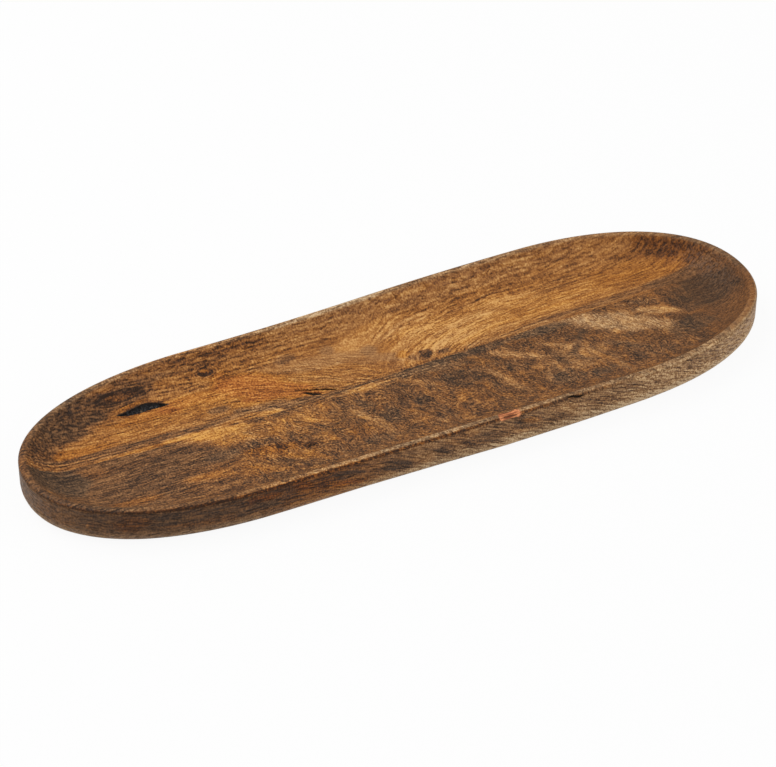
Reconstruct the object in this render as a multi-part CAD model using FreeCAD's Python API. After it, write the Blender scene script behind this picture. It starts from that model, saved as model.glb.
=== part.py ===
import FreeCAD, Part
import math
import os

# A long oval serving platter, cut and hollowed out of one plank of figured hardwood.
# X runs along the platter, Y across it and Z up. The near side is -Y and the far side +Y.
# The origin is on the underside, at the middle of the outline's length and width.
# The marks of growth and wear are placed along the platter and across it from the plank's centre line.

Vector = FreeCAD.Vector

# Outline, in plan
length = 510.0            # from tip to tip
near_side = 75.2          # from the plank's centre line to the near side
far_side_left = 75.0      # from the centre line to the far side, where the left end begins
far_side_right = 82.4     # the same where the right end begins, wider because the cut ran out
left_end = 136.0          # how much of the length the curve of the left end takes
right_end = 128.5         # and that of the right end
shoulder = 0.535          # pull of each end's curve along the sides: 0.552 is a plain ellipse
nose = 0.667              # pull of the same curve across the tip

# Section
height = 26.0
rim_width = 5.0           # the flat top of the rim, with the rounding of its edges
dish_depth = 14.0         # from the rim down to the floor of the dish
wall_run = 28.0           # how wide the hollowed slope between rim and floor is
rim_round = 2.6           # outer top edge
inner_round = 2.4         # the edge between rim and dish, worn soft
foot_round = 9.5          # lower edge, rounded so that fingers reach under it

# Black open knot at the left, where the slope begins
knot_length = 37.0
knot_width = 7.6
knot_depth = 2.6
knot_at = (-159.5, 46.3)
knot_turn = -3.0          # degrees from X

# Drying crack along the grain, and the shorter, wider gap beside it
crack_length = 27.0
crack_width = 0.9
crack_depth = 2.2
crack_at = (-50.7, 16.9)
crack_turn = -22.5
gap_length = 12.2
gap_width = 2.4
gap_depth = 1.6
gap_at = (-55.2, 14.5)
gap_turn = -33.0

# Chip knocked out of the near side's outer top edge
chip_length = 15.5
chip_height = 5.2
chip_depth = 1.5
chip_at = 41.0            # along the platter

# Split in the same edge, further to the right
split_length = 13.0
split_width = 1.6
split_depth = 1.8
split_at = 87.0
edge_lean = 45.0          # degrees that the chip and the split face outwards

# How the curves are drawn
arc_slack = 0.4           # how near the arcs keep to the free curve of each end
edge_slack = 0.01         # how near to a level an edge counts as lying on it
cutter_lift = 2.0         # how far the hollowing tool stands above its own rounding

half_length = length / 2
left_station = left_end - half_length
right_station = half_length - right_end
centre_y = (near_side - far_side_right) / 2
floor_level = height - dish_depth
slope_radius = (wall_run ** 2 + dish_depth ** 2) / (2 * dish_depth)


def end_arcs(tip, half_width, station, reach):
    # A quarter of the outline, from a tip to the side, as arcs that run smoothly into each other
    curve = Part.BezierCurve()
    curve.setPoles([
        Vector(tip, 0, 0), Vector(tip, nose * half_width, 0),
        Vector(station + shoulder * reach, half_width, 0), Vector(station, half_width, 0),
    ])
    return [arc.toShape() for arc in curve.toBSpline().toBiArcs(arc_slack)]


def far_side():
    # Two wide arcs that swing the far side from its right width to its left one
    right = Vector(right_station, far_side_right, 0)
    left = Vector(left_station, far_side_left, 0)
    run = right_station - left_station
    step = far_side_right - far_side_left
    if abs(step) < edge_slack:
        return [Part.makeLine(right, left)]
    radius = (run ** 2 + step ** 2) / (4 * step)
    half_turn = math.asin(run / 2 / radius) / 2
    across = radius * math.sin(half_turn)
    drop = radius * (1 - math.cos(half_turn))
    middle = (right + left) / 2
    return [
        Part.Arc(right, right + Vector(-across, -drop, 0), middle).toShape(),
        Part.Arc(middle, left + Vector(across, drop, 0), left).toShape(),
    ]


def outline():
    # The closed outline on the underside: four end quarters, the far side and the straight near side
    edges = far_side()
    edges += end_arcs(half_length, far_side_right, right_station, right_end)
    edges += end_arcs(-half_length, far_side_left, left_station, -left_end)
    edges += end_arcs(half_length, -near_side, right_station, right_end)
    edges += end_arcs(-half_length, -near_side, left_station, -left_end)
    edges.append(Part.makeLine(Vector(left_station, -near_side, 0), Vector(right_station, -near_side, 0)))
    wire = Part.Wire(Part.__sortEdges__(edges))
    wire.translate(Vector(0, centre_y, 0))
    return wire


def blank():
    return Part.Face(outline()).extrude(Vector(0, 0, height))


def dish():
    # The hollowing tool: a block with its lower edge rounded by the arc that climbs from floor to rim.
    # Its own side stands where that arc would turn upright, which is inside or outside the outline.
    side_inset = rim_width + wall_run - slope_radius
    path = outline()
    if abs(side_inset) > edge_slack:
        path = path.makeOffset2D(-side_inset)
    block = Part.Face(path).extrude(Vector(0, 0, slope_radius + cutter_lift))
    tool = block.makeFillet(slope_radius, edges_at(block, 0.0, True))
    tool.translate(Vector(0, 0, floor_level))
    return tool


def edges_at(shape, level, outer):
    # The edges that run round the shape's flat face at a level: its outer border, or its inner one
    for face in shape.Faces:
        box = face.BoundBox
        if abs(box.ZMin - level) < edge_slack and abs(box.ZMax - level) < edge_slack:
            wires = face.Wires
            rings = [wire for wire in wires if wire.isSame(face.OuterWire) == outer]
            return [edge for ring in rings for edge in ring.Edges]
    return []


def rounded(shape):
    shape = shape.makeFillet(foot_round, edges_at(shape, 0.0, True))
    shape = shape.makeFillet(inner_round, edges_at(shape, height, False))
    return shape.makeFillet(rim_round, edges_at(shape, height, True))


def scoop(long, wide, deep, at, turn=0.0, lean=0.0):
    # A boat-shaped hollow with its mouth at a place and its length turned in plan.
    # Lean tips it about its own length, for a hollow in an edge and not in the floor.
    radius = (wide ** 2 / 4 + deep ** 2) / (2 * deep)
    clear = radius - deep
    bow = Vector(-long / 2, clear, 0)
    stern = Vector(long / 2, clear, 0)
    hull = Part.Arc(bow, Vector(0, radius, 0), stern).toShape()
    deck = Part.makePolygon([stern, Vector(long / 2, 0, 0), Vector(-long / 2, 0, 0), bow])
    boat = Part.Face(Part.Wire([hull] + deck.Edges)).revolve(Vector(), Vector(1, 0, 0), 360)
    boat.translate(Vector(0, 0, clear))
    return placed(boat, at, turn, lean)


def slit(long, wide, deep, at, turn=0.0, lean=0.0):
    # A narrow crack with upright walls, pointed at both ends
    bow = Vector(-long / 2, 0, 0)
    stern = Vector(long / 2, 0, 0)
    one_wall = Part.Arc(bow, Vector(0, wide / 2, 0), stern).toShape()
    other_wall = Part.Arc(stern, Vector(0, -wide / 2, 0), bow).toShape()
    crack = Part.Face(Part.Wire([one_wall, other_wall])).extrude(Vector(0, 0, 2 * deep))
    crack.translate(Vector(0, 0, -deep))
    return placed(crack, at, turn, lean)


def placed(cutter, at, turn, lean):
    cutter.rotate(Vector(), Vector(1, 0, 0), lean)
    cutter.rotate(Vector(), Vector(0, 0, 1), turn)
    cutter.translate(at)
    return cutter


def in_dish(x, across):
    # The place on the dish's floor or slope that lies at a station and a distance from the centre line
    plan = Vector(x, centre_y + across, 0)
    inset = Part.Vertex(plan).distToShape(outline())[0]
    up_slope = min(wall_run, max(0.0, rim_width + wall_run - inset))
    climbed = slope_radius - math.sqrt(slope_radius ** 2 - up_slope ** 2)
    return plan + Vector(0, 0, floor_level + climbed)


def near_edge(x):
    # The middle of the near side's rounded outer top edge, at a station along its straight part
    drawn_in = rim_round * (1 - math.sqrt(0.5))
    return Vector(x, centre_y - near_side + drawn_in, height - drawn_in)


def wear():
    return [
        scoop(knot_length, knot_width, knot_depth, in_dish(*knot_at), knot_turn),
        slit(crack_length, crack_width, crack_depth, in_dish(*crack_at), crack_turn),
        slit(gap_length, gap_width, gap_depth, in_dish(*gap_at), gap_turn),
        scoop(chip_length, chip_height, chip_depth, near_edge(chip_at), lean=edge_lean),
        slit(split_length, split_width, split_depth, near_edge(split_at), lean=edge_lean),
    ]


def platter():
    shape = rounded(blank().cut(dish()))
    for mark in wear():
        shape = shape.cut(mark)
    return shape


os.makedirs("parts", exist_ok=True)
platter().exportStep("parts/platter.step")
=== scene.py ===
import math
import bpy
import numpy as np
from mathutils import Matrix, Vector, noise
from mathutils.geometry import delaunay_2d_cdt


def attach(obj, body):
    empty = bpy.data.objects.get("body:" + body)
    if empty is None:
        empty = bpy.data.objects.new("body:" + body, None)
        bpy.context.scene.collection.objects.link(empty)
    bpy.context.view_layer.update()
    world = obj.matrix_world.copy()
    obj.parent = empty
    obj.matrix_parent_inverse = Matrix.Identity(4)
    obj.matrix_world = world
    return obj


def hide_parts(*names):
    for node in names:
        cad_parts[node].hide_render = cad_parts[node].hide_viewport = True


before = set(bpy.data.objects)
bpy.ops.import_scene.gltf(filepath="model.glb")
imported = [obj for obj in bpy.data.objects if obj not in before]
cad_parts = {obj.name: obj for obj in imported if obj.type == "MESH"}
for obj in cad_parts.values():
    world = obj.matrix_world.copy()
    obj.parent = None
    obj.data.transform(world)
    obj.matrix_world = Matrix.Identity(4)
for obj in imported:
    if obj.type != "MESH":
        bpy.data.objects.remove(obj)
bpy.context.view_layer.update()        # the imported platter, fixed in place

mm = 0.001
body = "root"


def placed(name, data):
    # a new object in the scene
    made = bpy.data.objects.new(name, data)
    bpy.context.scene.collection.objects.link(made)
    return made


def aimed(made, place, aim):
    # puts a camera or a lamp at its place, turned to its aim
    made.location = place
    made.rotation_euler = (Vector(aim) - Vector(place)).to_track_quat("-Z", "Y").to_euler()


# Camera

view = {
    "place": (-0.653175, -1.360479, 1.209535),
    "aim": (-0.006273, 0.001465, 0.0102),
    "lens": 139.2,           # millimetres
    "sensor": 36.0,
    "clip": (0.05, 20.0),    # the nearest and the farthest distance that it sees
}


def makeCamera():
    data = bpy.data.cameras.new("studioCamera")
    data.lens = view["lens"]
    data.sensor_width = view["sensor"]
    data.clip_start, data.clip_end = view["clip"]
    camera = placed("studioCamera", data)
    aimed(camera, view["place"], view["aim"])
    bpy.context.scene.camera = camera


makeCamera()
print("camera set")


# Shape, in millimetres. X runs along the platter, +Y is the far side, Z is up.

platter = {
    "length": 510.0,
    "nearSide": 75.2,        # from the plank's centre line
    "farSideLeft": 75.0,
    "farSideRight": 82.4,
    "leftEnd": 136.0,        # how much of the length each end's curve takes
    "rightEnd": 128.5,
    "shoulder": 0.535,
    "nose": 0.667,
    "height": 26.0,
    "rimWidth": 5.0,
    "dishDepth": 14.0,
    "wallRun": 28.0,
    "rimRound": 2.6,
    "innerRound": 2.4,
    "footRound": 9.5,
    "step": 1.55,            # spacing of the mesh
    "fineStep": 0.42,        # and round the marks
    "underStep": 6.0,        # and on the underside
    "handWork": 0.12,        # how far the tooled surface wanders
    # how much of the foot's rounding the near side keeps, by station: hand work left its middle squarer
    "footKept": [(-235, 1.0), (-200, 0.90), (-100, 0.86), (-60, 0.90), (0, 0.74), (40, 0.58), (90, 0.70),
                 (130, 0.94), (150, 1.0)],
}
half = platter["length"] / 2
leftStation = platter["leftEnd"] - half
rightStation = half - platter["rightEnd"]
centreY = (platter["nearSide"] - platter["farSideRight"]) / 2
floorLevel = platter["height"] - platter["dishDepth"]
slopeRadius = (platter["wallRun"] ** 2 + platter["dishDepth"] ** 2) / (2 * platter["dishDepth"])
slopeEnd = platter["rimWidth"] + platter["wallRun"]
gridReach = 80.0             # a little more than half the width
noEye = 9.0                  # the measure of places far from any eye of grain

marks = {
    # the black open knot: edges as (x, far edge, near edge)
    "knot": [(-178, 42.1, 41.8), (-174, 43.2, 40.4), (-170, 43.8, 39.5), (-166, 44.8, 39.2), (-161, 46.0, 39.1),
             (-157, 46.4, 39.2), (-152.5, 45.8, 39.4), (-148, 44.4, 39.3), (-144.5, 42.4, 39.2), (-141.5, 40.1, 39.5)],
    "knotDepth": 2.6,
    "knotPatch": (-162.25, 43.0, 24.0, 6.5, 0.0),    # the finer mesh round it: x, y, half length, half width, turn
    "knotSpecks": [(-160.0, 42.2, 0.9), (-158.6, 40.3, 0.7)],    # light crumbs: x, y, reach
    # closed eyes of grain: x, y, half length, half width, turn, how deep they dip
    "eyes": [(-170.0, 53.4, 18.0, 3.2, 6.0, 0.35), (-110.7, 55.4, 5.4, 2.8, -8.0, 0.3)],
    # cracks: x, y, half length, half width, turn, depth
    "cracks": [(-50.7, 13.3, 13.5, 0.66, -22.5, 2.2), (-45.5, 11.2, 7.5, 0.85, -23.0, 2.0),
               (-55.2, 10.9, 6.1, 1.5, -33.0, 1.6), (-76.7, -36.0, 3.0, 0.9, 8.0, 0.7)],
    # marks in the near edge: x, half length, half width up the edge, depth
    "chip": (41.0, 7.8, 2.2, 1.5),
    "chipRise": 0.9,         # how far the chip lies up onto the rim
    "split": (87.0, 6.5, 0.9, 1.9),
}


def cubic(poles, count):
    t = np.linspace(0, 1, count)[:-1, None]
    p = np.array(poles, float)
    return (1 - t) ** 3 * p[0] + 3 * (1 - t) ** 2 * t * p[1] + 3 * (1 - t) * t * t * p[2] + t ** 3 * p[3]


def endQuarter(tip, side, station, reach):
    s, n = platter["shoulder"], platter["nose"]
    return [(tip, 0), (tip, n * side), (station + s * reach, side), (station, side)]


def denseOutline():
    # the outline in plan, run round from the right tip by the far side
    far, farLeft, near = platter["farSideRight"], platter["farSideLeft"], -platter["nearSide"]
    right, left = platter["rightEnd"], -platter["leftEnd"]
    run = rightStation - leftStation
    along = np.linspace(0, 1, 500)[:-1]
    swing = np.where(along < 0.5, far - 2 * (far - farLeft) * along ** 2,
                     farLeft + 2 * (far - farLeft) * (1 - along) ** 2)
    farPart = np.c_[rightStation - run * along, swing]
    nearPart = np.c_[leftStation + run * along, np.full(len(along), near)]
    parts = [
        cubic(endQuarter(half, far, rightStation, right), 600),
        farPart,
        cubic(endQuarter(-half, farLeft, leftStation, left)[::-1], 600),
        cubic(endQuarter(-half, near, leftStation, left), 600),
        nearPart,
        cubic(endQuarter(half, near, rightStation, right)[::-1], 600),
    ]
    return np.concatenate(parts) + [0, centreY]


def resampled(points):
    # even steps round the outline, closer together at the chip and the split
    closed = np.r_[points, points[:1]]
    lengths = np.linalg.norm(np.diff(closed, axis=0), axis=1)
    middle = (closed[1:] + closed[:-1]) / 2
    spacing = np.full(len(lengths), platter["step"])
    for x, reach in ((marks["chip"][0], 12.0), (marks["split"][0], 18.0)):
        nearHere = (np.abs(middle[:, 0] - x) < reach) & (middle[:, 1] < 0)
        spacing[nearHere] = platter["fineStep"]
    measure = np.r_[0, np.cumsum(lengths / spacing)]
    count = int(measure[-1])
    wanted = np.arange(count) * measure[-1] / count
    ring = np.c_[np.interp(wanted, measure, closed[:, 0]), np.interp(wanted, measure, closed[:, 1])]
    before, after = np.roll(ring, 1, 0), np.roll(ring, -1, 0)
    tangent = (after - before) / np.linalg.norm(after - before, axis=1)[:, None]
    inward = np.c_[-tangent[:, 1], tangent[:, 0]]
    return ring, inward


def slopeHeight(inset):
    up = np.clip(slopeEnd - inset, 0, platter["wallRun"])
    return floorLevel + slopeRadius - np.sqrt(slopeRadius ** 2 - up ** 2)


def sideProfile():
    # (inset, height) from the foot's start up to the lip of the dish
    foot, lip, inner, top = (platter[k] for k in ("footRound", "rimRound", "innerRound", "height"))
    quarter = np.linspace(0, math.pi / 2, 8)
    rows = [(foot * (1 - math.sin(a)), foot * (1 - math.cos(a))) for a in quarter]
    rows += [(0.0, z) for z in np.linspace(foot, top - lip, 10)[1:-1]]
    rows += [(lip * (1 - math.cos(a)), top - lip + lip * math.sin(a)) for a in np.linspace(0, math.pi / 2, 9)]
    steep = math.asin(platter["wallRun"] / slopeRadius)
    cut = inner * math.tan(steep / 2)
    rows.append((platter["rimWidth"] - cut - 0.6, top))
    for a in np.linspace(0, steep, 6):
        rows.append((platter["rimWidth"] - cut + inner * math.sin(a), top - inner * (1 - math.cos(a))))
    return rows


def turned(x, y, turn):
    a = math.radians(turn)
    return x * math.cos(a) + y * math.sin(a), y * math.cos(a) - x * math.sin(a)


def fineSpots():
    # where the dish has marks and needs a finer mesh: x, y, half length, half width, turn, spacing
    fine = platter["fineStep"]
    spots = [(*marks["knotPatch"], fine)]
    spots += [(x, y, long + 2, wide + 1.5, turn, fine * 1.3) for x, y, long, wide, turn, deep in marks["eyes"]]
    spots += [(x, y, long + 1.5, wide + 1.6, turn, fine * 0.62) for x, y, long, wide, turn, deep in marks["cracks"]]
    return spots


def insideSpot(points, spot, grow=0.0):
    x, y, long, wide, turn, fine = spot
    along, across = turned(points[:, 0] - x, points[:, 1] - y, turn)
    return (along / (long + grow)) ** 2 + (across / (wide + grow)) ** 2 < 1


def staggered(reachX, reachY, step):
    # a grid of points with every other row moved by half a step
    x, y = np.meshgrid(np.arange(-reachX, reachX, step), np.arange(-reachY, reachY, step))
    x[1::2] += step / 2
    return np.c_[x.ravel(), y.ravel()]


def topPoints(dense, ring, inward, lipInset):
    # points of the hollow in plan: rings down the slope, a grid on the floor, fine patches at the marks
    insets = np.linspace(lipInset, slopeEnd, 19)
    rows = [ring + inward * d for d in insets]
    loose = np.concatenate(rows[1:])
    looseInset = np.repeat(insets[1:], len(ring))
    step = platter["step"]
    grid = staggered(half, gridReach, step)
    gridInset = insetOf(grid, dense)
    keep = gridInset > slopeEnd + step * 0.6
    loose = np.r_[loose, grid[keep]]
    looseInset = np.r_[looseInset, gridInset[keep]]
    for spot in fineSpots():
        x, y, long, wide, turn, fine = spot
        outside = ~insideSpot(loose, spot)
        loose, looseInset = loose[outside], looseInset[outside]
        along, across = turned(*staggered(long, wide, fine).T, -turn)
        patch = np.c_[along + x, across + y]
        patch = patch[insideSpot(patch, spot, -fine * 0.4)]
        patchInset = insetOf(patch, dense)
        keep = patchInset > lipInset + 0.4
        loose = np.r_[loose, patch[keep]]
        looseInset = np.r_[looseInset, patchInset[keep]]
    return rows[0], loose, looseInset


def insetOf(points, dense):
    # how far inside the outline each point lies, negative outside it
    nearest = np.empty(len(points))
    for start in range(0, len(points), 2000):
        part = points[start:start + 2000]
        gap = ((part[:, None, :] - dense[None, ::2, :]) ** 2).sum(2)
        nearest[start:start + 2000] = np.sqrt(gap.min(1))
    x, y = points[:, 0], points[:, 1]
    ax, ay = dense[:, 0], dense[:, 1]
    order = np.argsort(ax)
    far = order[ay[order] > centreY]
    near = order[ay[order] <= centreY]
    top = np.interp(x, ax[far], ay[far])
    low = np.interp(x, ax[near], ay[near])
    inside = (y < top) & (y > low) & (np.abs(x) < half)
    return np.where(inside, nearest, -nearest)


def smooth(t):
    t = np.clip(t, 0, 1)
    return t * t * (3 - 2 * t)


def wander(points, scale, seed, octaves=2):
    # smooth noise at each point
    return np.array([noise.fractal((x * scale + seed, y * scale - seed, z * scale + 2 * seed), 1.0, 2.0, octaves)
                     for x, y, z in points])


def knotShape(x, y):
    # how many millimetres inside the open knot's edge each point lies, negative outside it
    k = np.array(marks["knot"])
    far = np.interp(x, k[:, 0], k[:, 1])
    near = np.interp(x, k[:, 0], k[:, 2])
    inside = np.minimum(far - y, y - near)
    ends = np.minimum(x - k[0, 0], k[-1, 0] - x) * 0.5
    return np.minimum(inside, ends)


def eyeRadius(x, y):
    # 1 at the border of an eye of grain, 0 at its middle, large away from it
    best = np.full(len(x), noEye)
    for ex, ey, long, wide, turn, deep in marks["eyes"]:
        a, b = turned(x - ex, y - ey, turn)
        best = np.minimum(best, np.sqrt((a / long) ** 2 + (b / wide) ** 2) + 0.12 * np.abs(a / long))
    return best


def crackDepth(x, y, frayed):
    # how deep the cracks go at each point, with noise that frays their sides
    depth = np.zeros(len(x))
    for cx, cy, long, wide, turn, deep in marks["cracks"]:
        a, b = turned(x - cx, y - cy, turn)
        b = b + 0.22 * np.sin(a * 0.9 + cx) + 0.1 * np.sin(a * 2.3)
        width = wide * np.clip(1 - (a / long) ** 2, 0.0, 1) ** 0.6 * (1 + 0.25 * frayed)
        cut = deep * smooth((width + 0.25 - np.abs(b)) / (0.5 * width + 0.25))
        depth = np.maximum(depth, cut * (np.abs(a) < long))
    return depth


def sideRings(ring, inward, profile):
    # foot, wall and rim as rings of points, with less rounding at the near side's foot
    count = len(ring)
    stations, amounts = np.array(platter["footKept"]).T
    kept = np.where(ring[:, 1] < 0, np.interp(ring[:, 0], stations, amounts), 1.0)
    foot, wallTop = platter["footRound"], platter["height"] - platter["rimRound"]
    verts, inset = [], []
    for d, z in profile:
        depth, level = np.full(count, d), np.full(count, z)
        if z <= foot:
            depth, level = depth * kept, level * kept
        elif z < wallTop:
            level = foot * kept + (z - foot) * (wallTop - foot * kept) / (wallTop - foot)
        verts.append(np.c_[ring + inward * depth[:, None], level])
        inset.append(depth)
    faces = []
    for r in range(len(profile) - 1):
        a = r * count + np.arange(count)
        b = r * count + (np.arange(count) + 1) % count
        faces += np.c_[a, b, b + count, a + count].tolist()
    return np.concatenate(verts), np.concatenate(inset), faces


def filled(verts, inset, ring, ringStart, loose, looseInset, heightAt):
    # fills a ring that the mesh has already with triangles over the loose points
    count = len(ring)
    edges = [(i, (i + 1) % count) for i in range(count)]
    made = delaunay_2d_cdt([Vector(p) for p in np.r_[ring, loose]], edges, [], 1, 1e-7)
    index, extra, extraInset = [], [], []
    for point, origin in zip(made[0], made[3]):
        source = origin[0] if origin else -1
        if 0 <= source < count:
            index.append(ringStart + source)
        else:
            index.append(len(verts) + len(extra))
            extra.append((point[0], point[1]))
            extraInset.append(looseInset[source - count] if source >= count else slopeEnd)
    extraInset = np.array(extraInset)
    faces = [[index[i] for i in face] for face in made[2]]
    return np.r_[verts, np.c_[extra, heightAt(extraInset)]], np.r_[inset, extraInset], faces


def makeMesh():
    dense = denseOutline()
    ring, inward = resampled(dense)
    profile = sideProfile()
    verts, inset, sideFaces = sideRings(ring, inward, profile)
    topStart = len(verts)
    lip, loose, looseInset = topPoints(dense, ring, inward, profile[-1][0])
    verts, inset, topFaces = filled(verts, inset, lip, topStart - len(ring), loose, looseInset, slopeHeight)
    topEnd = len(verts)
    # the flat underside: a coarse grid within the foot
    step = platter["underStep"]
    gridX, gridY = np.meshgrid(np.arange(-half, half, step), np.arange(-gridReach, gridReach, step))
    grid = np.c_[gridX.ravel(), gridY.ravel()]
    grid = grid[insetOf(grid, dense) > platter["footRound"] + 3]
    gridInset = np.full(len(grid), slopeEnd)
    verts, inset, underFaces = filled(verts, inset, verts[:len(ring), :2], 0, grid, gridInset, np.zeros_like)
    return verts, inset, sideFaces + topFaces + [face[::-1] for face in underFaces], topStart, topEnd


def nearEdgeMarks(verts):
    # in the near side's outer top edge: the chip's depth, that of the slot along it, and the split's
    x, y, z = verts.T
    edgeY = centreY - platter["nearSide"]
    corner = platter["rimRound"] * (1 - math.sqrt(0.5))
    upEdge = ((y - (edgeY + corner)) + (z - (platter["height"] - corner))) / math.sqrt(2)
    ragged = 0.5 * wander(verts, 0.55, 12.0, 3)
    cx, long, wide, deep = marks["chip"]
    a, b = (x - cx) / long, (upEdge - marks["chipRise"] + 0.3 * ragged) / wide
    reach = np.sqrt(a ** 6 + b ** 2 * (0.7 + 0.3 * np.cos(3 * a)))
    chip = deep * smooth((1.08 - reach) * 2.4 + 0.25 * ragged)
    slot = 0.9 * smooth((0.75 - np.abs(upEdge + 0.2 * a)) / 0.6) * smooth((1 - np.abs(a * 1.45)) * 3)
    sx, long, wide, deep = marks["split"]
    a, b = (x - sx) / long, (upEdge + 0.2 * (x - sx) + 0.25 * np.sin((x - sx) * 0.9)) / wide
    split = deep * smooth((1.05 - np.sqrt(a ** 2 + b ** 2)) * 1.8 + 0.15 * ragged)
    onEdge = (y < edgeY + 7) & (z > 15)
    return onEdge, ragged, chip, slot, split


def worked(verts, inset, topStart, topEnd):
    # cuts the marks into the surface and gives it the slight unevenness of hand work
    x, y, z = verts.T
    inDish = np.zeros(len(verts), bool)
    inDish[topStart:topEnd] = True
    frayed = wander(verts, 0.9, 3.1)
    inKnot = knotShape(x, y) + 0.35 * frayed
    dip = marks["knotDepth"] * smooth(inKnot / 1.7) * (0.85 + 0.5 * wander(verts, 0.5, 8.0))
    radius = eyeRadius(x, y)
    for ex, ey, long, wide, turn, deep in marks["eyes"]:
        dip += deep * smooth(1.1 - radius) * (np.hypot(x - ex, y - ey) < long + 3)
    cracked = crackDepth(x, y, frayed)
    dip = np.maximum(dip, cracked)
    tooled = platter["handWork"] * wander(verts, 0.022, 5.0) * smooth((inset - 5.2) / 6)
    onEdge, ragged, chip, slot, split = nearEdgeMarks(verts)
    bruise = np.where(onEdge, np.maximum(chip + slot * (chip > 0.3), split), 0) * math.sqrt(0.5)
    out = verts.copy()
    out[:, 1] += bruise
    out[:, 2] -= np.where(inDish, dip, 0)
    out[:, 2] += np.where(inDish, tooled, 0)
    out[:, 2] -= bruise
    # painted shade: black inside the cracks, the split and the slot along the chip, where shade falls in them
    dark = np.where(inDish, smooth(cracked / 0.8), 0)
    edgeDark = np.maximum(smooth(split / 1.1), 0.6 * smooth(slot * chip / 0.9))
    dark = np.maximum(dark, np.where(onEdge, edgeDark, 0))
    fresh = np.where(onEdge, smooth(chip / 0.9 + 0.25 * ragged), 0)
    knot = np.where(inDish, np.clip(inKnot, -4, 4), -4)
    return out, knot, dark, fresh, np.where(inDish, radius, noEye)


verts, inset, faces, topStart, topEnd = makeMesh()
shaped, knot, dark, fresh, eyes = worked(verts, inset, topStart, topEnd)
print("platter shaped:", len(verts), "points,", len(faces), "faces")


# The wood's figure. Places are in millimetres in plan. Each patch of tone is
# x, y, half length, half width, turn, lightness, warmth, strength.

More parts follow.
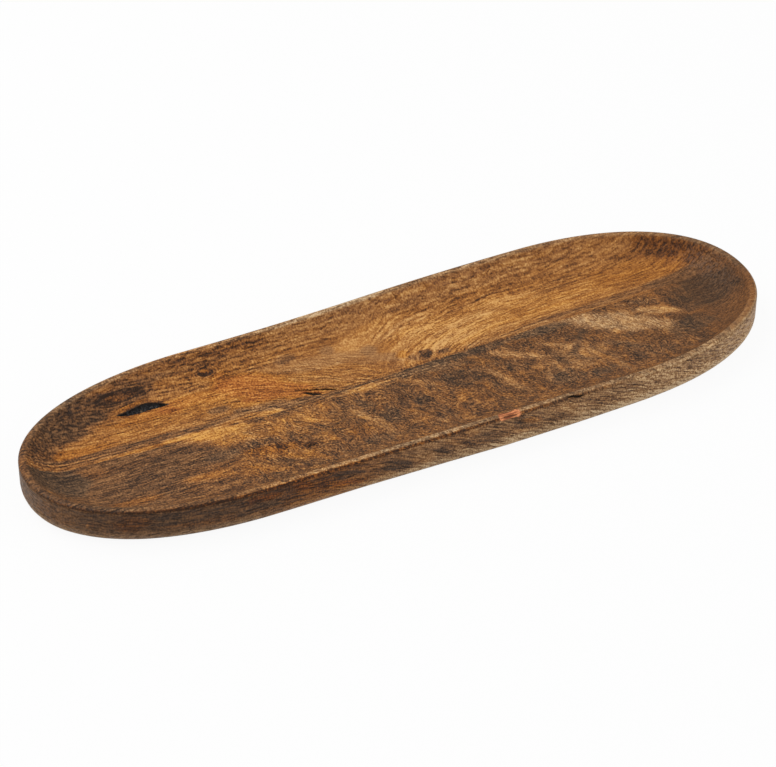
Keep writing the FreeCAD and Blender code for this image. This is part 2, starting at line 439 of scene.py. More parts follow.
figure = {
    "seam": [(-258, 9), (-200, 6.5), (-150, 3.5), (-100, 4), (-60, 5), (-40, 8), (0, 9), (40, 10), (60, 11),
             (90, 12), (150, 13.5), (180, 14.2), (200, 15), (258, 18)],
    "shift": (-0.5, -1.1),   # moves the patches of both halves, and the seam across
    "archStart": 75.0,      # where the innermost arch begins, and how far left the outermost one does
    "archReach": 85.0,
    "archHeight": 50.0,
    "archRun": 40.0,         # how soon an arch levels out
    "bendFrom": -97.0,       # where the orange band turns down towards the seam, and how steeply
    "bendSlope": 0.5,
    "farBase": (0.58, 0.8),
    "nearBase": (0.37, 0.52),
    "far": [
        (40, 68, 250, 9, 2, 0.66, 0.66, 0.85),
        (165, 62, 60, 8, -6, 0.63, 0.68, 0.7),
        (5, 49, 42, 10, 10, 0.82, 0.78, 0.9),
        (72, 31, 75, 19, 3, 0.84, 0.82, 1.0),
        (50, 24, 30, 5, 14, 0.92, 0.75, 0.8),
        (135, 32, 55, 14, 1, 0.74, 0.88, 1.0),
        (197, 35, 36, 12, -5, 0.6, 0.95, 1.0),
        (222, 45, 24, 7, -35, 0.28, 1.0, 0.9),
        (240, 26, 14, 12, -60, 0.34, 0.8, 0.9),
        (205, 49, 18, 3, -14, 0.34, 0.9, 0.7),
        (-120, 65, 65, 7, 2, 0.43, 0.75, 0.9),
        (-112, 55, 40, 7, 0, 0.5, 0.75, 0.8),
        (-150, 25, 75, 11, 0, 0.62, 0.9, 1.0),
        (-125, 38, 45, 6, -2, 0.74, 1.3, 1.0),
        (-172, 48.5, 15, 2.4, 4, 0.56, 1.3, 0.8),
        (-158, 34, 26, 4, 0, 0.52, 1.35, 0.6),
        (-143, 35, 8, 4, -20, 0.54, 1.7, 0.8),
        (-80, 31, 32, 13, -28, 0.64, 1.75, 1.0),
        (-62, 17, 16, 6, -30, 0.55, 1.6, 0.8),
        (-35, 21, 40, 7, -27, 0.66, 0.8, 0.9),
        (-40, 40, 34, 7, -8, 0.70, 0.5, 0.8),
        (-215, 20, 34, 4, 0, 0.54, 1.15, 0.9),
        (-215, 39, 36, 11, 22, 0.26, 0.25, 0.95),
        (-236, 22, 14, 10, 55, 0.28, 0.4, 0.8),
        (-171, 53.8, 25, 5.5, 6, 0.28, 0.5, 0.9),
        (-190, 54, 14, 3.2, 9, 0.22, 0.4, 0.8),
        (-157, 57.5, 15, 2.6, 7, 0.20, 0.4, 0.9),
        (-110.2, 56.5, 6.5, 3.6, -8, 0.36, 0.6, 0.8),
        (-150, 61, 20, 3, 4, 0.46, 0.5, 0.7),
        (-58, 50, 8, 4, 0, 0.44, 0.4, 0.75),
        (-28, 48, 5, 4, 0, 0.57, 0.4, 0.75),
        (-3, 37, 6, 6, 0, 0.64, 0.35, 0.8),
        (-12, 29, 13, 3.5, -32, 0.62, 0.6, 0.8),
        (6, 25, 15, 5, -22, 0.66, 0.5, 0.9),
        (15, 24, 5, 4, 30, 0.72, 1.2, 0.8),
        (24, 15.5, 8, 2.6, -28, 0.42, 0.5, 0.8),
        (29, 19, 4.4, 4, 0, 0.2, 0.4, 0.95),
        (42, 16, 5, 3, 0, 0.36, 0.4, 0.8),
        (-190, 14, 70, 2.0, -1, 0.3, 0.3, 0.9),
        (-190, 10.5, 66, 1.6, -1, 0.44, 0.55, 0.8),
        (-115, 12, 45, 3.5, 4, 0.46, 0.35, 0.8),
        (-116, 22, 8, 4, 0, 0.36, 0.25, 0.8),
        (-103, 15, 6, 2.6, -10, 0.34, 0.3, 0.8),
        (-70, 8, 28, 4, -5, 0.4, 0.25, 0.8),
        (-170, 5.5, 36, 1.5, -2, 0.72, 1.0, 0.9),
        (-130, 4, 24, 3.2, -6, 0.95, 0.98, 0.95),
        (-90, 5.5, 13, 3, 0, 0.88, 0.9, 0.9),
        (150, 17.5, 78, 3.6, 1.6, 0.54, 0.5, 0.9),
        (90, 14, 40, 2, 1, 0.7, 0.5, 0.8),
        (216, 20, 32, 5.5, 3, 0.42, 0.3, 0.9),
    ],
    "near": [
        (-190, -12, 60, 20, 0, 0.325, 0.36, 1.0),
        (-200, -37, 55, 14, 0, 0.36, 0.35, 0.9),
        (-216, -2, 16, 6, 0, 0.4, 0.7, 0.7),
        (-195, -40, 14, 4, 0, 0.46, 0.9, 0.8),
        (-228, -6, 14, 12, 0, 0.24, -0.2, 0.9),
        (-240, 0, 12, 18, 0, 0.22, 0.0, 1.0),
        (-100, -6, 36, 10, -5, 0.66, 0.9, 1.0),
        (-122, 1, 24, 4.5, -3, 0.83, 1.0, 0.9),
        (-88, -6, 5, 9, 0, 0.5, 0.8, 0.7),
        (-60, -8, 24, 10, -12, 0.57, 0.8, 0.9),
        (-68, -10, 8, 2.5, -60, 0.74, 0.8, 0.8),
        (-16, 2.5, 26, 2.6, -1, 0.82, 0.8, 0.95),
        (-105, -38, 38, 11, -5, 0.48, 0.8, 0.9),
        (-100, -27, 22, 4, -8, 0.36, 1.1, 0.8),
        (-140, -36, 20, 4, -8, 0.6, 0.9, 0.8),
        (-148, -43, 18, 4, -8, 0.36, 0.5, 0.8),
        (50, -32, 30, 10, 0, 0.41, 0.65, 0.8),
        (35, -14, 17, 8, -10, 0.22, 0.25, 0.95),
        (-18, -28, 6, 8, 0, 0.24, 0.15, 0.9),
        (5, -25, 6, 6, 0, 0.26, 0.2, 0.85),
        (-45, -12, 9, 9, 0, 0.33, 0.4, 0.8),
        (-30, -12, 10, 5, -30, 0.34, 0.3, 0.8),
        (-34, -49, 12, 5, 0, 0.3, 0.2, 0.8),
        (-44, -35, 9, 7, 0, 0.4, 0.8, 0.7),
        (76, -18, 8, 7, -50, 0.27, 0.3, 0.9),
        (60, -32, 8, 8, 0, 0.32, 0.3, 0.7),
        (-76, -35, 6, 3.5, 0, 0.16, 0.7, 0.9),
        (-130, -21, 12, 5, -10, 0.3, 0.15, 0.85),
        (-95, -45, 14, 4, -30, 0.28, 0.4, 0.8),
        (60, 7, 40, 3.5, 1, 0.26, 0.05, 0.95),
        (105, 8, 28, 4, 1, 0.3, 0.0, 0.95),
        (18, 4, 30, 4, -8, 0.50, 0.2, 0.8),
        (-6, 7.5, 44, 1.1, 3, 0.34, 0.2, 0.8),
        (12, 1.5, 32, 1.0, -2, 0.36, 0.3, 0.8),
        (12, -6, 20, 2.4, -35, 0.56, 0.6, 0.8),
        (155, -4, 32, 11, -30, 0.74, 0.3, 0.95),
        (176, -15, 26, 7, -38, 0.66, 0.3, 0.9),
        (188, -5, 16, 4.5, -25, 0.74, 0.5, 0.9),
        (118, -28, 26, 13, 0, 0.58, 0.45, 0.9),
        (100, -42, 15, 6, 0, 0.32, 0.2, 0.85),
        (122, -47, 18, 4, 0, 0.3, 0.15, 0.85),
        (105, -24, 4, 12, 0, 0.36, 0.3, 0.8),
        (150, -28, 20, 3.5, -35, 0.36, 0.25, 0.85),
        (168, -43, 22, 7, 0, 0.4, 0.4, 0.8),
        (185, 6, 10, 3.5, -25, 0.34, 0.2, 0.8),
        (225, -4, 24, 18, 0, 0.24, 0.2, 1.0),
        (200, -30, 16, 7, 0, 0.3, 0.15, 0.9),
        (-245, -22, 6, 1.6, 74, 0.8, 0.9, 0.8),
        (-34, -22, 11, 2.8, -55, 0.72, 0.65, 1.0),
        (-26, -38, 12, 2.8, -72, 0.68, 0.65, 1.0),
        (-62, -33, 12, 2.6, -60, 0.58, 0.8, 0.8),
        (-78, -44, 14, 3, -50, 0.6, 0.9, 0.8),
        (-8, -40, 10, 2.2, -70, 0.52, 0.6, 0.8),
        (10, -48, 9, 3, 0, 0.56, 0.5, 0.8),
        (82, -8, 20, 3, -32, 0.66, 0.5, 0.9),
        (112, -12, 14, 2.6, -36, 0.66, 0.5, 0.85),
        (62, -22, 11, 2.6, -62, 0.6, 0.45, 0.85),
        (68, -38, 12, 2.6, -60, 0.54, 0.4, 0.8),
        (125, -12, 16, 2.6, 48, 0.34, 0.25, 0.85),
        (90, -38, 10, 2.6, 60, 0.58, 0.5, 0.8),
        (138, -42, 3, 12, 10, 0.56, 0.4, 0.8),
    ],
    # tone along the near and far sides, as x, lightness, warmth
    "nearWall": [(-255, 0.36, 0.1), (-243, 0.29, 0.2), (-222, 0.24, 0.3), (-200, 0.20, 0.3), (-170, 0.23, 0.3),
                 (-140, 0.22, 0.3), (-110, 0.26, 0.7), (-80, 0.31, 0.8), (-50, 0.39, 0.4), (-20, 0.50, 0.25),
                 (10, 0.44, 0.2), (60, 0.47, 0.2), (110, 0.56, 0.15), (140, 0.64, 0.15), (170, 0.64, 0.15),
                 (200, 0.66, 0.1), (255, 0.70, 0.1)],
    "farWall": [(-255, 0.36, 0.1), (-150, 0.36, 0.5), (0, 0.45, 0.6), (150, 0.5, 0.7), (255, 0.66, 0.3)],
    # the near crest: painted shade on the rounded outer edge where it turns away from the light, over a darker stained
    # edge
    "nearCrestShade": [(-255, 0.30, 0.3), (-240, 0.17, 0.6), (-200, 0.12, 0.8), (-150, 0.08, 1.1), (-105, 0.13, 1.5),
                  (-60, 0.22, 1.0), (60, 0.25, 0.7), (95, 0.34, 0.4), (115, 0.53, 0.25), (142, 0.80, 0.1),
                  (225, 0.76, 0.1), (255, 0.60, 0.3)],
    "nearRim": [(-255, 0.32, 0.3), (-245, 0.31, 0.3), (-215, 0.31, 0.2), (-150, 0.42, 0.45), (-105, 0.61, 0.5),
                (-70, 0.66, 0.35), (-20, 0.66, 0.05), (60, 0.60, 0.1), (110, 0.56, 0.1), (200, 0.63, 0.1),
                (245, 0.50, 0.6), (255, 0.33, 0.4)],
    "farRim": [(-255, 0.35, 0.7), (-235, 0.43, 0.2), (-200, 0.45, 0.1), (-160, 0.60, 0.3), (-119, 0.58, 0.6),
               (-60, 0.72, 0.2), (0, 0.79, 0.0), (60, 0.62, 0.2), (120, 0.66, 0.2), (205, 0.66, 0.35),
               (240, 0.46, 0.1), (255, 0.42, 0.1)],
    # painted light: the white floor's light bounced onto the lower wall, added as paler tone
    "footBounceLight": (0.30, -0.35),      # lightness and warmth added towards the foot
    # patches on the near wall, with heights in the place of y
    "onNearWall": [
        (-245, 15, 8, 8, 0, 0.35, 0.4, 0.6), (-231.5, 14, 0.9, 2.4, 0, 0.60, 0.7, 0.8),
        (-229, 14, 0.7, 2.2, 0, 0.52, 0.7, 0.7), (-208, 17, 13, 6, 0, 0.19, 1.1, 0.6),
        (-186, 19, 9, 5, 0, 0.15, 0.2, 0.6), (-165, 12, 24, 2.2, -2, 0.30, 0.7, 0.6),
        (-128, 20, 12, 3, 0, 0.24, 1.6, 0.8), (-124, 15, 11, 3.2, -14, 0.15, 0.1, 0.8),
        (-101, 20, 8, 3.5, -20, 0.26, 1.7, 0.7), (-88, 17, 7, 4, 0, 0.20, 1.2, 0.7),
        (-70, 18.5, 12, 3.4, -8, 0.14, 0.4, 0.9), (-72, 12.5, 13, 1.9, -10, 0.36, 1.7, 0.8),
        (-52, 20, 7, 3.6, -38, 0.48, 0.5, 0.7), (-38, 14, 11, 4.0, -14, 0.17, 0.2, 0.9),
        (-20, 13, 8, 4.5, -20, 0.56, 0.4, 0.7), (-7, 14, 8, 2.4, -32, 0.24, 0.2, 0.9),
        (2, 19, 8, 3, -20, 0.46, 0.5, 0.6), (13, 21.5, 7, 2.8, -12, 0.60, 0.5, 0.8),
        (16, 13.5, 11, 2.8, -16, 0.24, 0.3, 0.9), (34, 15, 9, 3, -20, 0.46, 0.3, 0.6),
        (47, 20, 3.6, 3, 0, 0.22, 0.2, 0.85), (54, 10.5, 16, 1.4, -6, 0.62, 0.4, 0.7),
        (58, 17, 8, 2.6, -16, 0.46, 0.9, 0.6), (72, 12.5, 9, 2.0, -14, 0.27, 0.3, 0.85),
        (80, 20, 12, 3.6, -10, 0.60, 0.4, 0.7), (103, 18, 11, 0.8, -16, 0.22, 0.3, 0.9),
        (110, 13.5, 13, 0.9, -14, 0.32, 0.3, 0.8), (124, 21, 12, 1.0, -12, 0.44, 0.3, 0.7),
    ],
    # knots that the grain parts round: x, y, reach along, reach across, how far it is pushed
    "parted": [(-160, 43, 34, 12, 5.0), (-171, 53.6, 30, 8, 3.4), (-110.3, 56.2, 12, 6, 3.0)],
    "wallLean": 0.42,        # slope of the wall's grain, from where it leaves the level
    "wallLeanFrom": -75.0,
    # places where the grain shows less: x, y, half length, half width, share
    "soft": [(-14, 38, 26, 13, 0.45), (3, 27, 14, 9, 0.35), (-45, 46, 22, 8, 0.25), (-10, 56, 50, 10, 0.25)],
    # how strongly the grain shows along the wall and each half
    "wallContrast": [(-255, 0.5), (-150, 0.6), (-100, 0.75), (0, 0.95), (100, 1.1), (180, 1.15), (230, 0.7)],
    "farContrast": [(-255, 0.75), (-150, 0.85), (-110, 1.0), (-60, 0.95), (40, 0.9), (120, 0.75), (200, 0.6),
                    (255, 0.5)],
    "nearContrast": [(-255, 0.65), (-200, 0.8), (-160, 0.9), (-110, 1.1), (-40, 0.9), (110, 0.85), (190, 0.75),
                     (215, 0.45), (255, 0.4)],
}


def painted(x, y, warp, base, patches):
    # lays the patches over the base tone and each other, each with a ragged border
    light = base[0] + np.zeros(len(x))
    warmth = base[1] + np.zeros(len(x))
    for px, py, long, wide, turn, patchLight, patchWarmth, strength in patches:
        a, b = turned(x - px, y - py, turn)
        reach = np.sqrt((a / long) ** 2 + (b / wide) ** 2) + warp
        weight = strength * smooth((1.25 - reach) / 0.6)
        light += (patchLight - light) * weight
        warmth += (patchWarmth - warmth) * weight
    return light, warmth


def stationed(x, name, row=1):
    # a value along the platter, from one of the figure's lists of stations
    table = np.array(figure[name]).T
    return np.interp(x, table[0], table[row])


def alongSide(x, y, nearSide, farSide):
    # tone along the sides, the near side's below the centre line and the far side's above it
    share = smooth((y - centreY + 12) / 24)
    tone = []
    for row in (1, 2):
        near, far = stationed(x, nearSide, row), stationed(x, farSide, row)
        tone.append(near + (far - near) * share)
    return tone


def risingFrom(x, start, soft):
    # 0 before a station and 1 per millimetre after it, with a soft bend between
    return soft * np.log1p(np.exp(np.clip((x - start) / soft, -30, 30)))


def straightWay(x, y, z):
    # grain that runs along the plank and parts round the knots
    across = y - 0.35 * z
    for kx, ky, reachX, reachY, push in figure["parted"]:
        a, b = (x - kx) / reachX, (y - ky) / reachY
        across = across - push * b * np.exp(-(a * a + b * b) * 1.2)
    return np.c_[x, across, z]


def archedWay(x, above, z):
    # growth rings cut at a slant: nested arches that start on the seam and level out to the right.
    # Halving finds the height of the arch that passes through each point.
    above = above - 0.4 * (z - floorLevel)
    low, high = np.zeros(len(x)), np.full(len(x), 120.0)
    for halving in range(24):
        tried = (low + high) / 2
        start = figure["archStart"] - figure["archReach"] * tried / figure["archHeight"]
        rise = tried * np.sqrt(1 - np.exp(-np.maximum(x - start, 0) / figure["archRun"]))
        low, high = np.where(rise < above, tried, low), np.where(rise < above, high, tried)
    return np.c_[x + 0.6 * above, low, z * 0.6]


def bentWay(x, y, z):
    # the straight grain, turned down towards the seam from where the orange band bends
    return straightWay(x, y + figure["bendSlope"] * risingFrom(x, figure["bendFrom"], 9), z)


def makeFigure():
    x, y, z = shaped.T
    warp = 0.34 * wander(verts, 0.045, 21.0, 3) + 0.3 * wander(verts * (0.16, 1.0, 1.0), 0.16, 33.0, 2)
    shiftX, shiftY = figure["shift"]
    farTone = painted(x - shiftX, y - shiftY, warp, figure["farBase"], figure["far"])
    nearTone = painted(x - shiftX, y - shiftY, warp, figure["nearBase"], figure["near"])
    wallTone = alongSide(x, y, "nearWall", "farWall")
    spotted = painted(x, z, warp, wallTone, figure["onNearWall"])
    wallTone = [np.where(y < 0, s, w) for s, w in zip(spotted, wallTone)]
    rimTone = alongSide(x, y, "nearRim", "farRim")
    # the rounded outer top edge takes the crest's tone, which holds painted shade along the near side
    crestShadeTone = alongSide(x, y, "nearCrestShade", "farRim")
    onWall = smooth((1.9 - inset) / 1.0) * smooth((platter["height"] - 1.1 - z) / 0.8)
    onWall[verts[:, 2] < floorLevel - 1] = 1
    # painted light from the floor, stronger towards the foot
    footBounceShare = smooth((12.5 - z) / 7.5)
    wallTone = [tone + footBounceShare * paler for tone, paler in zip(wallTone, figure["footBounceLight"])]
    onRim = smooth((platter["rimWidth"] + 1.2 - inset) / 1.6) * (1 - onWall)
    onCrest = smooth((1.9 - inset) / 0.8)
    rimTone = [r + (c - r) * onCrest for r, c in zip(rimTone, crestShadeTone)]
    tones = []
    for tone in (farTone, nearTone):
        pair = [t + (r - t) * onRim for t, r in zip(tone, rimTone)]
        tones.append([t + (w - t) * onWall for t, w in zip(pair, wallTone)])
    seam = y - stationed(x, "seam") - shiftY
    arch = smooth((x + 36 - 0.5 * (y - 45)) / 50) * smooth((seam + 4) / 6) * (1 - onWall)
    slant = smooth((x + 150) / 10) * smooth((14 - x) / 30) * smooth((50 - y) / 12) * (1 - onWall)
    curl = smooth((x + 150) / 45) * smooth((235 - x) / 40) * (1 - onWall)
    far, near, wall = (stationed(x, name) for name in ("farContrast", "nearContrast", "wallContrast"))
    contrast = near + (far - near) * smooth((seam + 3) / 6)
    contrast += (wall - contrast) * onWall
    for sx, sy, long, wide, share in figure["soft"]:
        contrast = contrast * (1 - share * np.exp(-((x - sx) / long) ** 2 - ((y - sy) / wide) ** 2))
    wallWay = np.c_[x, z + figure["wallLean"] * risingFrom(x, figure["wallLeanFrom"], 15), 0.3 * y]
    speck = np.zeros(len(x))
    for sx, sy, reach in marks["knotSpecks"]:
        speck = np.maximum(speck, smooth(1.4 - np.hypot(x - sx, y - sy) / reach))
    return {
        "wayStraight": np.where(onWall[:, None] > 0.5, wallWay, straightWay(x, y, z)),
        "wayBent": bentWay(x, y, z),
        "wayArched": archedWay(x, seam + 2, z),
        "farTone": np.c_[tones[0][0], tones[0][1], contrast],
        "nearTone": np.c_[tones[1][0], tones[1][1], knot],
        "ways": np.c_[arch, slant, curl],
        "seam": np.c_[seam, eyes, onWall],
        "wearAndRecessShade": np.c_[dark, fresh, speck],
    }


def makeObject(fields):
    mesh = bpy.data.meshes.new("woodenPlatter")
    mesh.from_pydata((shaped * mm).tolist(), [], faces)
    mesh.validate()
    for name, values in fields.items():
        layer = mesh.attributes.new(name, "FLOAT_VECTOR", "POINT")
        layer.data.foreach_set("vector", values.astype(np.float32).ravel())
    mesh.shade_smooth()
    return placed("woodenPlatter", mesh)


woodenPlatter = makeObject(makeFigure())
print("platter made")


# Wood material

wood = {
    # colours by lightness: for warmth 0, for warmth 1, and for warmth 2
    "cool": [(0.0, (0.023, 0.0135, 0.0085)), (0.25, (0.086, 0.0466, 0.0228)), (0.5, (0.196, 0.104, 0.048)),
             (0.75, (0.382, 0.225, 0.108)), (1.0, (0.646, 0.456, 0.262))],
    "warm": [(0.0, (0.023, 0.009, 0.0035)), (0.25, (0.098, 0.0315, 0.007)), (0.5, (0.279, 0.093, 0.0148)),
             (0.75, (0.47, 0.182, 0.030)), (1.0, (0.725, 0.365, 0.086))],
    "red": [(0.0, (0.025, 0.008, 0.0035)), (0.25, (0.10, 0.026, 0.006)), (0.5, (0.29, 0.078, 0.0135)),
            (0.75, (0.485, 0.155, 0.028)), (1.0, (0.735, 0.33, 0.080))],
    # noise per millimetre of each kind of grain, along it, across it and through the wood
    "streakScale": (0.011, 0.20, 0.20),
    "fibreScale": (0.055, 0.72, 0.72),
    "hairScale": (0.035, 0.46, 0.46),
    "poreScale": (0.20, 0.95, 0.95),
    "gritScale": (0.95, 0.66, 0.75),
    "raggedScale": (0.05, 0.5, 0.5),
    "flameScale": (0.10, 0.05, 0.08),
    "tornScale": (0.12, 0.9, 0.9),
    "drift": (0.0, 36.0, 36.0),      # how far the grain wanders, in millimetres
    "curlTurn": 38.0,        # degrees from the platter's length
    "curlSqueeze": (1.5, 1.35, 1.35),
    "flameTurn": -24.0,
    "seamJitter": 7.0,       # how far the seam's edge wanders, in millimetres
    "streaks": 0.19,         # how much each kind of grain changes the lightness
    "streakWarmth": 0.75,
    "rings": 0.16,
    "fibres": 0.27,
    "grit": 0.80,
    "pores": 0.21,
    "hairs": 0.14,
    "curl": 0.31,
    "curlWarmth": 0.4,
    "stripes": 0.12,         # the dark and light lines beside the seam
    "eyeDark": 0.24,
    "eyeRings": 0.09,
    "eyeCore": 0.20,
    "chip": [(0.26, 0.075, 0.030, 1), (0.80, 0.31, 0.125, 1)],   # its dark and light fibres
    "knotBlack": (0.012, 0.010, 0.010, 1),
    "knotCrumb": (0.16, 0.11, 0.07, 1),
    # painted shade inside the cracks, the split and the chip's slot
    "recessShadeBlack": (0.014, 0.009, 0.006, 1),
    "scorch": 0.16,          # round the open knot
    "roughness": 0.5,
    "specular": 0.19,
    "bump": 0.0002,          # metres
}


class Nodes:
    # adds nodes to a tree and joins them
    def __init__(self, tree):
        self.tree = tree

    def add(self, kind, inputs=None, **settings):
        made = self.tree.nodes.new(kind)
        for key, value in settings.items():
            setattr(made, key, value)
        for key, value in (inputs or {}).items():
            socket = made.inputs[key]
            if isinstance(value, bpy.types.NodeSocket):
                self.tree.links.new(value, socket)
            else:
                socket.default_value = value
        return made

    def math(self, operation, a, b=0.0, c=0.0):
        return self.add("ShaderNodeMath", {0: a, 1: b, 2: c}, operation=operation).outputs[0]

    def vector(self, operation, a, b=(0, 0, 0)):
        return self.add("ShaderNodeVectorMath", {0: a, 1: b}, operation=operation).outputs[0]

    def split(self, vector):
        return self.add("ShaderNodeSeparateXYZ", {0: vector}).outputs

    def field(self, name):
        return self.add("ShaderNodeAttribute", attribute_name=name, attribute_type="GEOMETRY").outputs["Vector"]

    def noise(self, place, scales, detail, rough=0.5, distortion=0.0):
        scaled = self.vector("MULTIPLY", place, scales)
        return self.add("ShaderNodeTexNoise", {"Vector": scaled, "Scale": 1.0, "Detail": detail,
                                               "Roughness": rough, "Distortion": distortion}).outputs

    def spread(self, value, low, high, toLow=0.0, toHigh=1.0, kind="SMOOTHSTEP"):
        return self.add("ShaderNodeMapRange", {0: value, 1: low, 2: high, 3: toLow, 4: toHigh},
                        interpolation_type=kind).outputs[0]

    def mixNumber(self, factor, a, b):
        return self.add("ShaderNodeMix", {0: factor, 2: a, 3: b}, data_type="FLOAT").outputs[0]

    def mixVector(self, factor, a, b):
        return self.add("ShaderNodeMix", {0: factor, 4: a, 5: b}, data_type="VECTOR").outputs[1]

    def mixColour(self, factor, a, b):
        return self.add("ShaderNodeMix", {0: factor, 6: a, 7: b}, data_type="RGBA").outputs[2]

    def ramp(self, value, stops):
        made = self.add("ShaderNodeValToRGB", {0: value})
        elements = made.color_ramp.elements
        while len(elements) < len(stops):
            elements.new(0.5)
        for element, (place, colour) in zip(elements, stops):
            element.position = place
            element.color = (*colour, 1.0)
        return made.outputs[0]


def grainGroup():
    # in: the way of the grain in millimetres. Out: streaks, ring lines and fibres, then pores, tint and hairs.
    tree = bpy.data.node_groups.new("woodGrain", "ShaderNodeTree")
    tree.interface.new_socket("Way", in_out="INPUT", socket_type="NodeSocketVector")
    tree.interface.new_socket("Grain", in_out="OUTPUT", socket_type="NodeSocketVector")
    tree.interface.new_socket("Other", in_out="OUTPUT", socket_type="NodeSocketVector")
    n = Nodes(tree)
    way = n.add("NodeGroupInput").outputs[0]
    broad = n.noise(way, wood["streakScale"], 6.0, 0.62)
    tint = n.split(broad["Color"])[1]
    streaks = n.spread(broad[0], 0.3, 0.7, kind="LINEAR")
    across = n.split(way)[1]
    phase = n.math("ADD", n.math("MULTIPLY", across, 2.1), n.math("MULTIPLY", tint, 9.0))
    rings = n.math("POWER", n.math("MULTIPLY_ADD", n.math("SINE", phase), 0.5, 0.5), 2.5)
    fibres = n.spread(n.noise(way, wood["fibreScale"], 0.0)[0], 0.34, 0.66, kind="LINEAR")
    # thin dark hairs where a long noise crosses its middle
    hairs = n.math("ABSOLUTE", n.math("SUBTRACT", n.noise(way, wood["hairScale"], 1.0)[0], 0.5))
    hairs = n.spread(hairs, 0.035, 0.0)
    pores = n.spread(n.noise(way, wood["poreScale"], 0.0)[0], 0.54, 0.62)
    grain = n.add("ShaderNodeCombineXYZ", {0: streaks, 1: rings, 2: fibres}).outputs[0]
    other = n.add("ShaderNodeCombineXYZ", {0: pores, 1: tint, 2: hairs}).outputs[0]
    n.add("NodeGroupOutput", {0: grain, 1: other})
    return tree


def newMaterial(name):
    material = bpy.data.materials.new(name)
    material.use_nodes = True
    material.node_tree.nodes.clear()
    return material


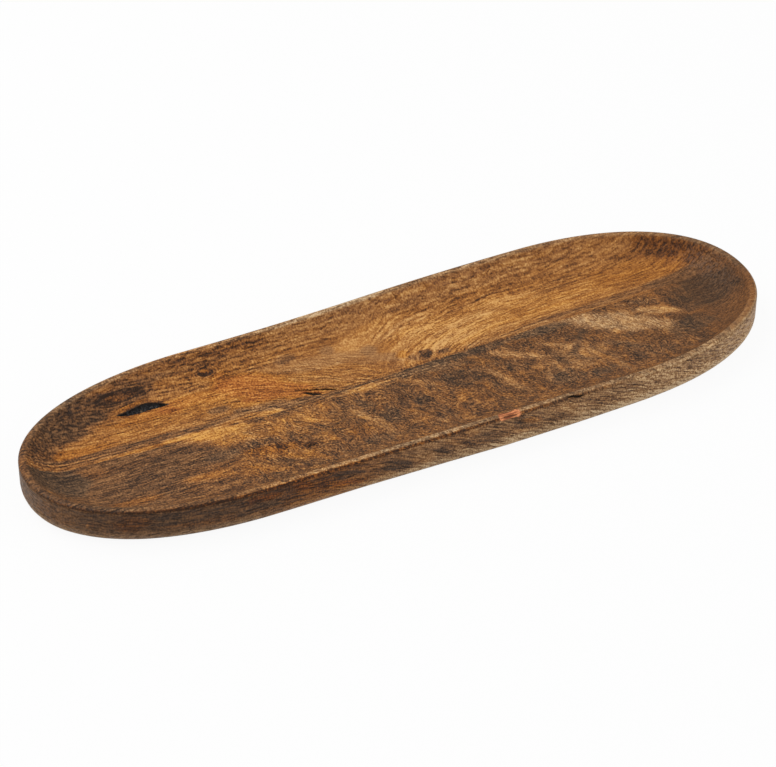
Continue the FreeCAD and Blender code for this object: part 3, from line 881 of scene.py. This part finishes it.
def woodMaterial():
    material = newMaterial("oiledWood")
    tree = material.node_tree
    n = Nodes(tree)
    group = grainGroup()
    place = n.add("ShaderNodeTexCoord").outputs["Object"]
    place = n.vector("MULTIPLY", place, (1 / mm, 1 / mm, 1 / mm))
    drift = n.add("ShaderNodeTexNoise", {"Vector": place, "Scale": 0.04, "Detail": 2.0}).outputs["Color"]
    drift = n.vector("MULTIPLY", n.vector("SUBTRACT", drift, (0.5, 0.5, 0.5)), wood["drift"])

    def grainAlong(way):
        made = tree.nodes.new("ShaderNodeGroup")
        made.node_tree = group
        tree.links.new(way, made.inputs[0])
        return made.outputs[0], made.outputs[1]

    def drifted(name, share):
        # a way of the grain that the mesh carries, with a share of the drift
        return n.vector("ADD", n.field(name), n.vector("MULTIPLY", drift, (0.0, share, share)))

    def turnedWay(degrees):
        a = math.radians(degrees)
        x, y, z = n.split(n.vector("ADD", place, drift))
        along = n.math("SUBTRACT", n.math("MULTIPLY", x, math.cos(a)), n.math("MULTIPLY", y, math.sin(a)))
        across = n.math("ADD", n.math("MULTIPLY", x, math.sin(a)), n.math("MULTIPLY", y, math.cos(a)))
        return n.add("ShaderNodeCombineXYZ", {0: along, 1: across, 2: z}).outputs[0]

    straight = grainAlong(drifted("wayStraight", 0.12))
    arched = grainAlong(drifted("wayArched", 0.16))
    slanted = grainAlong(drifted("wayBent", 0.16))
    curly = grainAlong(n.vector("MULTIPLY", turnedWay(wood["curlTurn"]), wood["curlSqueeze"]))

    seam, eyes, onWall = n.split(n.field("seam"))
    arch, slant, curl = n.split(n.field("ways"))
    farLight, farWarmth, contrast = n.split(n.field("farTone"))
    nearLight, nearWarmth, knot = n.split(n.field("nearTone"))
    dark, fresh, speck = n.split(n.field("wearAndRecessShade"))
    hollow = n.spread(knot, -0.22, 0.68)

    ragged = n.noise(place, wood["raggedScale"], 4.0, 0.65)[0]
    jitter = n.math("MULTIPLY_ADD", ragged, wood["seamJitter"], -wood["seamJitter"] / 2)
    far = n.spread(n.math("ADD", seam, jitter), -0.6, 0.6)

    def blended(i):
        # the far half's grain is straight, arched or slanted, the near half's straight or curly
        farGrain = n.mixVector(slant, n.mixVector(arch, straight[i], arched[i]), slanted[i])
        return n.split(n.mixVector(far, n.mixVector(curl, straight[i], curly[i]), farGrain))

    streaks, rings, fibres = blended(0)
    pores, tint, hairs = blended(1)
    light = n.mixNumber(far, nearLight, farLight)
    warmth = n.mixNumber(far, nearWarmth, farWarmth)

    # flames of curl across the near half's grain
    flames = n.noise(turnedWay(wood["flameTurn"]), wood["flameScale"], 4.0, 0.6, 1.3)[0]
    flames = n.math("SUBTRACT", n.spread(flames, 0.34, 0.66, kind="LINEAR"), 0.5)
    flameWeight = n.math("MULTIPLY", curl, n.math("SUBTRACT", 1.0, far))
    flames = n.math("MULTIPLY", flames, flameWeight)
    grit = n.noise(place, wood["gritScale"], 0.0)[0]

    def plus(total, value, middle, amount):
        return n.math("ADD", total, n.math("MULTIPLY", n.math("SUBTRACT", value, middle), amount))

    # broad streaks are weaker on the wall and hairs in the curl, and ring lines are in the far half only
    calm = n.math("MULTIPLY_ADD", onWall, -0.55, 1.0)
    ringWeight = n.math("MULTIPLY", n.math("MULTIPLY_ADD", arch, 0.6, 0.3), far)
    hairWeight = n.math("MULTIPLY_ADD", flameWeight, -0.6, 1.0)
    detail = plus(0.0, n.math("MULTIPLY", n.math("SUBTRACT", streaks, 0.5), calm), 0.0, wood["streaks"])
    detail = plus(detail, n.math("MULTIPLY", rings, ringWeight), 0.1, -wood["rings"])
    detail = plus(detail, fibres, 0.5, wood["fibres"])
    detail = plus(detail, grit, 0.5, wood["grit"])
    detail = plus(detail, pores, 0.25, -wood["pores"])
    detail = plus(detail, n.math("MULTIPLY", hairs, hairWeight), 0.15, -wood["hairs"])
    light = n.math("MULTIPLY_ADD", detail, contrast, light)
    light = plus(light, flames, 0.0, wood["curl"])
    tinted = n.math("MULTIPLY", n.math("SUBTRACT", tint, 0.5), n.math("MULTIPLY", contrast, calm))
    warmth = plus(warmth, tinted, 0.0, wood["streakWarmth"])
    warmth = plus(warmth, flames, 0.0, wood["curlWarmth"])
    # the lines beside the seam, above it at the left and below it in the middle
    stripes = n.math("SINE", n.math("ADD", n.math("MULTIPLY", seam, 2.3), n.math("MULTIPLY", ragged, 5.0)))
    beside = n.math("ADD", seam, n.spread(n.split(place)[0], -90.0, -35.0, 0.0, 6.5))
    window = n.math("MULTIPLY", n.spread(beside, -4.0, 0.0), n.spread(beside, 13.0, 7.0))
    window = n.math("MULTIPLY", window, n.spread(n.split(place)[0], 75.0, 10.0))
    light = plus(light, n.math("MULTIPLY", stripes, window), 0.0, wood["stripes"])
    # closed eyes of grain
    ringed = n.math("SINE", n.math("MULTIPLY_ADD", eyes, 15.0, n.math("MULTIPLY", ragged, 4.0)))
    inEye = n.spread(n.math("ADD", eyes, n.math("MULTIPLY_ADD", ragged, 0.5, -0.25)), 1.25, 0.95)
    light = n.math("SUBTRACT", light, n.math("MULTIPLY", inEye, wood["eyeDark"]))
    around = n.math("MULTIPLY", n.spread(eyes, 2.6, 1.2), n.spread(eyes, 0.7, 1.2, 0.3, 1.0))
    light = plus(light, n.math("MULTIPLY", ringed, around), 0.0, wood["eyeRings"])
    core = n.spread(n.math("MULTIPLY_ADD", ragged, 0.5, eyes), 1.05, 0.80)
    light = plus(light, core, 0.0, wood["eyeCore"])
    warmth = plus(warmth, core, 0.0, 0.3)
    light = plus(light, n.spread(knot, -2.6, -0.2), 0.0, -wood["scorch"])
    light = n.math("MAXIMUM", light, 0.03)

    cool, warm, red = (n.ramp(light, wood[name]) for name in ("cool", "warm", "red"))
    colour = n.mixColour(warmth, cool, warm)
    colour = n.mixColour(n.math("SUBTRACT", warmth, 1.0), colour, red)
    torn = n.spread(n.noise(place, wood["tornScale"], 2.0, 0.6)[0], 0.38, 0.58)
    colour = n.mixColour(fresh, colour, n.mixColour(torn, *wood["chip"]))
    colour = n.mixColour(hollow, colour, n.mixColour(speck, wood["knotBlack"], wood["knotCrumb"]))
    # painted shade: the cracks, the split and the chip's slot turn black
    colour = n.mixColour(dark, colour, wood["recessShadeBlack"])

    rough = n.math("MULTIPLY_ADD", fibres, 0.16, wood["roughness"] - 0.08)
    rough = n.math("ADD", rough, n.math("MULTIPLY", pores, 0.2))
    rough = n.mixNumber(hollow, rough, 0.3)
    height = n.math("ADD", n.math("MULTIPLY", fibres, 0.5), n.math("MULTIPLY", pores, -0.8))
    height = n.math("ADD", height, n.math("MULTIPLY", rings, -0.15))
    bump = n.add("ShaderNodeBump", {"Height": height, "Distance": wood["bump"], "Strength": 1.0})
    shader = n.add("ShaderNodeBsdfPrincipled", {"Base Color": colour, "Roughness": rough,
                                                "Specular IOR Level": wood["specular"],
                                                "Normal": bump.outputs[0]})
    n.add("ShaderNodeOutputMaterial", {0: shader.outputs[0]})
    return material


woodenPlatter.data.materials.append(woodMaterial())
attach(woodenPlatter, body)
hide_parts("platter")
print("wood finished")


# Studio: pale floor, soft lamps, white background

studio = {
    "floorWidth": 8.0,
    "floorDrop": 0.0002,     # how far it lies under the platter
    "floorGrey": 0.82,
    "floorWhite": 0.93,      # share of plain white that the camera sees in the floor
    "world": 0.55,
    "lamps": [
        # name, place, aim, size, watts
        ("keyLamp", (-0.9, 0.7, 1.9), (0, 0, 0), 1.6, 26.0),
        ("fillLamp", (1.4, -1.5, 1.5), (0, 0, 0), 1.6, 12.0),
    ],
}


def makeFloor():
    reach, grey = studio["floorWidth"] / 2, studio["floorGrey"]
    mesh = bpy.data.meshes.new("studioFloor")
    corners = [(-reach, -reach), (reach, -reach), (reach, reach), (-reach, reach)]
    mesh.from_pydata([(x, y, -studio["floorDrop"]) for x, y in corners], [], [(0, 1, 2, 3)])
    floor = placed("studioFloor", mesh)
    material = newMaterial("paleFloor")
    n = Nodes(material.node_tree)
    seen = n.add("ShaderNodeLightPath")
    rays = n.math("MAXIMUM", seen.outputs["Is Camera Ray"], seen.outputs["Is Glossy Ray"])
    rays = n.math("MAXIMUM", rays, seen.outputs["Is Transmission Ray"])
    matt = n.add("ShaderNodeBsdfDiffuse", {"Color": (grey, grey, grey, 1)})
    white = n.add("ShaderNodeEmission", {"Color": (1, 1, 1, 1), "Strength": 1.0})
    share = n.math("MULTIPLY", rays, studio["floorWhite"])
    mixed = n.add("ShaderNodeMixShader", {0: share, 1: matt.outputs[0], 2: white.outputs[0]})
    n.add("ShaderNodeOutputMaterial", {0: mixed.outputs[0]})
    mesh.materials.append(material)


def makeWorld():
    world = bpy.data.worlds.new("studioWorld")
    bpy.context.scene.world = world
    world.use_nodes = True
    world.node_tree.nodes.clear()
    n = Nodes(world.node_tree)
    seen = n.add("ShaderNodeLightPath")
    soft = n.add("ShaderNodeBackground", {"Color": (1, 1, 1, 1), "Strength": studio["world"]})
    white = n.add("ShaderNodeBackground", {"Color": (1, 1, 1, 1), "Strength": 1.0})
    mixed = n.add("ShaderNodeMixShader", {0: seen.outputs["Is Camera Ray"], 1: soft.outputs[0], 2: white.outputs[0]})
    n.add("ShaderNodeOutputWorld", {0: mixed.outputs[0]})


def makeLamps():
    for name, place, aim, size, watts in studio["lamps"]:
        data = bpy.data.lights.new(name, "AREA")
        data.size = size
        data.energy = watts
        aimed(placed(name, data), place, aim)


makeFloor()
makeWorld()
makeLamps()
bpy.context.scene.view_settings.view_transform = "Standard"
print("studio set")
